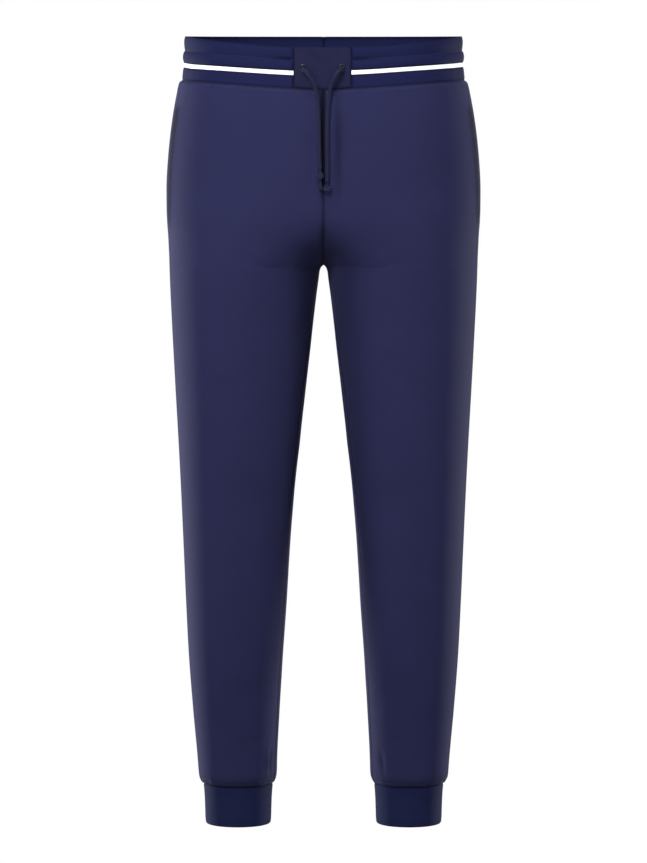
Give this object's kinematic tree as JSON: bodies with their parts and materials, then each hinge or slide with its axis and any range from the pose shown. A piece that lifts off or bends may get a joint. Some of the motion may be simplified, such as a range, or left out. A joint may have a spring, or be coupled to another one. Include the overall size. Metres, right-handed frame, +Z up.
{
  "type": "jogger sweatpants",
  "caption": "Full-length jogger sweatpants, filled out and hollow, with a striped elastic waistband, drawcord ends, side-seam pockets and ribbed cuffs.",
  "frame": {"origin": "middle of the ring of the waistband, half way up its height at the sides, where the wearer's waist holds it", "axes": "+Z up along the legs' length, +Y to the back of the garment, +X to the wearer's left"},
  "size_m": [0.4096, 0.28, 1.0288],
  "materials": {
    "body_cloth": "smooth matte double-knit cotton, navy",
    "pocket_cloth": "matte knit cotton in shade, navy",
    "band_cloth": "fine horizontal rib knit over elastic, navy",
    "white_tape": "flat woven tape, white",
    "panel_cloth": "smooth matte double-knit cotton, navy",
    "eyelet_metal": "pressed and plated metal",
    "drawcord": "round braided cord, navy",
    "cuff_rib": "fine vertical rib knit, dark navy"
  },
  "bodies": {
    "root": {"front_left": "body_cloth", "front_right": "body_cloth", "back_left": "body_cloth", "back_right": "body_cloth", "pocket_left": "pocket_cloth", "pocket_right": "pocket_cloth", "waistband_left": "band_cloth", "waistband_right": "band_cloth", "stripe_left": "white_tape", "stripe_right": "white_tape", "centre_panel": "panel_cloth", "eyelet_left": "eyelet_metal", "eyelet_right": "eyelet_metal", "cord_left": "drawcord", "cord_right": "drawcord", "knot_left": "drawcord", "knot_right": "drawcord", "cuff_left": "cuff_rib", "cuff_right": "cuff_rib"}
  },
  "joints": []
}
